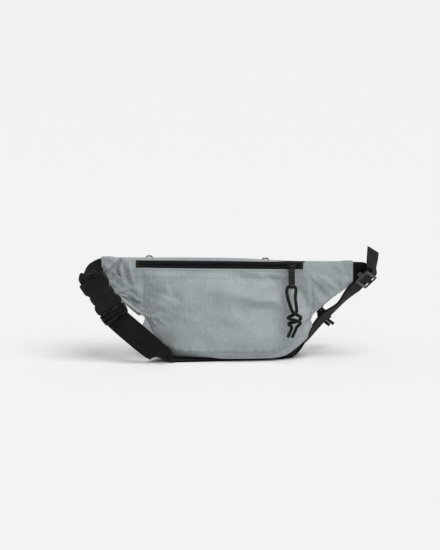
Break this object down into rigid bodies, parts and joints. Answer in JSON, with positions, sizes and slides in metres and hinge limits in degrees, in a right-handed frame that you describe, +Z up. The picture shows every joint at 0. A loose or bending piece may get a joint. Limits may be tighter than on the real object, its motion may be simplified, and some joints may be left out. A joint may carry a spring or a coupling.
{
  "type": "waist pack",
  "caption": "Boat-bottomed waist pack in ripstop fabric with welt zips, cord pulls, a webbing belt, a side-release buckle and a tri-glide.",
  "frame": {"origin": "on the floor, under the middle of the pack with its belt and buckle", "axes": "+Z up, +X along the pack to the right wing with the tri-glide, +Y from the front panel to the back panel"},
  "size_m": [0.384, 0.1022, 0.1402],
  "materials": {
    "ripstop_fabric": "matt ripstop nylon",
    "lining_fabric": "matt",
    "black_webbing": "woven webbing",
    "zip_coil": "satin nylon",
    "zip_tape": "woven",
    "dark_metal": "satin black",
    "black_cord": "braided",
    "black_plastic": "satin moulded"
  },
  "bodies": {
    "bag": {"front_panel": "ripstop_fabric", "back_panel": "ripstop_fabric", "bottom_gusset": "ripstop_fabric", "divider_lining": "lining_fabric", "front_seam_binding": "lining_fabric", "back_seam_binding": "lining_fabric", "left_anchor_webbing": "black_webbing", "belt_webbing": "black_webbing", "lash_loop_left": "black_webbing", "lash_loop_right": "black_webbing", "buckle_female": "black_plastic", "front_zip_tape_upper": "zip_tape", "front_zip_tape_lower": "zip_tape", "front_zip_coil_upper": "zip_coil", "front_zip_coil_lower": "zip_coil", "front_zip_stop_left": "zip_coil", "front_zip_stop_right": "zip_coil", "back_zip_tape_upper": "zip_tape", "back_zip_tape_lower": "zip_tape", "back_zip_coil_upper": "zip_coil", "back_zip_coil_lower": "zip_coil", "back_zip_stop_left": "zip_coil", "back_zip_stop_right": "zip_coil"},
    "buckle_insert": {"buckle_male": "black_plastic"},
    "latch_left": {"latch_arm_left": "black_plastic"},
    "latch_right": {"latch_arm_right": "black_plastic"},
    "glide": {"tri_glide": "black_plastic"},
    "front_slider": {"front_zip_slider": "dark_metal"},
    "front_pull": {"front_pull_tab": "dark_metal"},
    "front_cord": {"front_cord_left": "black_cord", "front_cord_right": "black_cord", "front_cord_knot": "black_cord"},
    "back_slider": {"back_zip_slider": "dark_metal"},
    "back_pull": {"back_pull_tab": "dark_metal"},
    "back_cord": {"back_cord_left": "black_cord", "back_cord_right": "black_cord", "back_cord_knot": "black_cord"}
  },
  "joints": [
    {"name": "buckle_release", "type": "slide", "parent": "bag", "child": "buckle_insert", "axis": [0.5506, -0.1959, -0.8114], "range_m": [0, 0.025], "deforming": ["belt_webbing"]},
    {"name": "latch_left_press", "type": "hinge", "parent": "buckle_insert", "child": "latch_left", "pos_m": [-0.14489, -0.01975, 0.07494], "axis": [-0.11, -0.9806, 0.1621], "range_deg": [0, 7], "stiffness_Nm_per_rad": 0.6},
    {"name": "latch_right_press", "type": "hinge", "parent": "buckle_insert", "child": "latch_right", "pos_m": [-0.16111, -0.01975, 0.06394], "axis": [0.11, 0.9806, -0.1621], "range_deg": [0, 7], "stiffness_Nm_per_rad": 0.6},
    {"name": "glide_adjust", "type": "slide", "parent": "bag", "child": "glide", "axis": [-0.7133, 0.03, -0.7003], "range_m": [0, 0.01], "deforming": ["belt_webbing"]},
    {"name": "front_zip_slide", "type": "slide", "parent": "bag", "child": "front_slider", "axis": [1, 0, -0.0093], "range_m": [-0.185, 0.003], "deforming": ["front_cord_left", "front_cord_right", "front_cord_knot"]},
    {"name": "front_pull_swing", "type": "hinge", "parent": "front_slider", "child": "front_pull", "pos_m": [0.07737, -0.00262, 0.12075], "axis": [-1, 0, 0], "range_deg": [0, 110]},
    {"name": "front_cord_swing", "type": "hinge", "parent": "front_pull", "child": "front_cord", "pos_m": [0.07737, -0.01108, 0.09617], "axis": [-1, 0, 0], "range_deg": [0, 80]},
    {"name": "back_zip_slide", "type": "slide", "parent": "bag", "child": "back_slider", "axis": [-1, 0, 0.0093], "range_m": [0, 0.188]},
    {"name": "back_pull_swing", "type": "hinge", "parent": "back_slider", "child": "back_pull", "pos_m": [0.11967, 0.01398, 0.11676], "axis": [1, 0, 0], "range_deg": [0, 110]},
    {"name": "back_cord_swing", "type": "hinge", "parent": "back_pull", "child": "back_cord", "pos_m": [0.11967, 0.02497, 0.09319], "axis": [1, 0, 0], "range_deg": [0, 80]}
  ]
}
